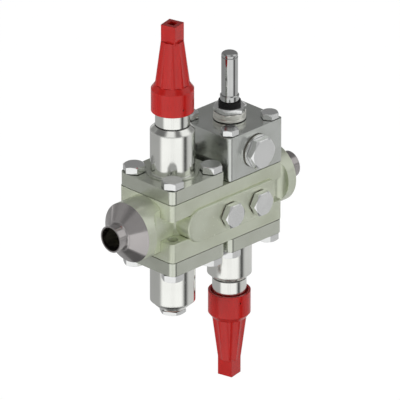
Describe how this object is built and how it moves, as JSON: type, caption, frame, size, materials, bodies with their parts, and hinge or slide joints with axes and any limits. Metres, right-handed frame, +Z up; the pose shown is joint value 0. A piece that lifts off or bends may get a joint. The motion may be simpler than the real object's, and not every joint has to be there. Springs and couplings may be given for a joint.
{
  "type": "refrigeration valve station",
  "caption": "Weld-in refrigeration valve station: cast housing with stop valve, filter, solenoid valve and regulating valve modules, red seal caps and plugged service ports.",
  "frame": {"origin": "centre of the inlet stub's open end, on the flow axis", "axes": "+X along the flow from the inlet stub to the outlet stub, -Y towards the plugged service ports, +Z up towards the stop valve's cap"},
  "size_m": [0.202, 0.0695, 0.3278],
  "materials": {
    "casting": "fine-grained cast surface, grey-green corrosion treatment, satin",
    "cover_steel": "satin grey-green plate with a polished turned bonnet",
    "zinc_block": "satin zinc-plated steel block",
    "zinc_steel": "bright zinc plate",
    "collar_steel": "turned steel, faint yellow passivation",
    "machined_steel": "turned and ground steel",
    "tube_steel": "polished stainless tube",
    "red_cap": "semi-gloss moulded plastic",
    "ptfe": "waxy white sealing plastic",
    "fibre": "dark fibre gasket",
    "black_rubber": "black rubber",
    "soft_copper": "annealed copper",
    "pilot_brass": "turned brass"
  },
  "bodies": {
    "station": {"valve_housing": "casting", "stop_cover": "cover_steel", "stop_cover_gasket": "fibre", "stop_bolts": "zinc_steel", "stop_packing": "ptfe", "stop_gland_nut": "machined_steel", "filter_cover": "cover_steel", "filter_cover_gasket": "fibre", "filter_bolts": "zinc_steel", "filter_screen": "machined_steel", "drain_plug": "zinc_steel", "drain_gasket": "soft_copper", "solenoid_block": "zinc_block", "solenoid_block_gasket": "fibre", "solenoid_bolts": "zinc_steel", "main_seat_ring": "machined_steel", "piston_spring": "machined_steel", "side_plug": "zinc_steel", "side_plug_gasket": "fibre", "pilot_seat": "pilot_brass", "tube_collar": "collar_steel", "tube_nut": "zinc_steel", "armature_tube": "tube_steel", "plunger_spring": "machined_steel", "coil_ring": "black_rubber", "reg_cover": "cover_steel", "reg_cover_gasket": "fibre", "reg_bolts": "zinc_steel", "reg_packing": "ptfe", "reg_gland_nut": "machined_steel", "mid_port_plug": "zinc_steel", "mid_port_gasket": "fibre", "outlet_port_plug": "zinc_steel", "outlet_port_gasket": "fibre"},
    "stop_disc": {"stop_disc": "machined_steel", "stop_disc_seal": "ptfe"},
    "stop_spindle": {"stop_spindle": "machined_steel"},
    "stop_cap_seal": {"stop_cap_seal": "black_rubber"},
    "stop_cap": {"stop_cap": "red_cap"},
    "servo_piston": {"servo_piston": "machined_steel", "piston_ring": "ptfe", "piston_seal": "ptfe"},
    "plunger": {"plunger": "machined_steel"},
    "reg_disc": {"reg_disc": "machined_steel", "reg_disc_seal": "ptfe"},
    "reg_spindle": {"reg_spindle": "machined_steel"},
    "reg_cap_seal": {"reg_cap_seal": "black_rubber"},
    "reg_cap": {"reg_cap": "red_cap"}
  },
  "joints": [
    {"name": "stop_disc_lift", "type": "slide", "parent": "station", "child": "stop_disc", "axis": [0, 0, 1], "range_m": [0, 0.01]},
    {"name": "stop_spindle_turn", "type": "hinge", "parent": "stop_disc", "child": "stop_spindle", "pos_m": [0.069, 0, 0.08], "axis": [0, 0, 1], "range_deg": [0, 1800]},
    {"name": "stop_cap_lift", "type": "slide", "parent": "station", "child": "stop_cap_seal", "axis": [0, 0, 1], "range_m": [0, 0.01]},
    {"name": "stop_cap_turn", "type": "hinge", "parent": "stop_cap_seal", "child": "stop_cap", "pos_m": [0.069, 0, 0.08], "axis": [0, 0, 1], "range_deg": [0, 1800]},
    {"name": "servo_piston_lift", "type": "slide", "parent": "station", "child": "servo_piston", "axis": [0, 0, 1], "range_m": [0, 0.008], "stiffness_N_per_m": 600, "springref_m": -0.006, "deforming": ["piston_spring"]},
    {"name": "plunger_lift", "type": "slide", "parent": "station", "child": "plunger", "axis": [0, 0, 1], "range_m": [0, 0.0025], "stiffness_N_per_m": 300, "springref_m": -0.004, "deforming": ["plunger_spring"]},
    {"name": "reg_disc_lift", "type": "slide", "parent": "station", "child": "reg_disc", "axis": [0, 0, -1], "range_m": [0, 0.01]},
    {"name": "reg_spindle_turn", "type": "hinge", "parent": "reg_disc", "child": "reg_spindle", "pos_m": [0.133, 0, -0.08], "axis": [0, 0, -1], "range_deg": [0, 1800]},
    {"name": "reg_cap_lift", "type": "slide", "parent": "station", "child": "reg_cap_seal", "axis": [0, 0, -1], "range_m": [0, 0.01]},
    {"name": "reg_cap_turn", "type": "hinge", "parent": "reg_cap_seal", "child": "reg_cap", "pos_m": [0.133, 0, -0.08], "axis": [0, 0, -1], "range_deg": [0, 1800]}
  ],
  "couplings": [
    {"joint": "stop_spindle_turn", "follows": "stop_disc_lift", "rad_per_m": 3141.6},
    {"joint": "stop_cap_turn", "follows": "stop_cap_lift", "rad_per_m": 3141.6},
    {"joint": "reg_spindle_turn", "follows": "reg_disc_lift", "rad_per_m": 3141.6},
    {"joint": "reg_cap_turn", "follows": "reg_cap_lift", "rad_per_m": 3141.6}
  ]
}
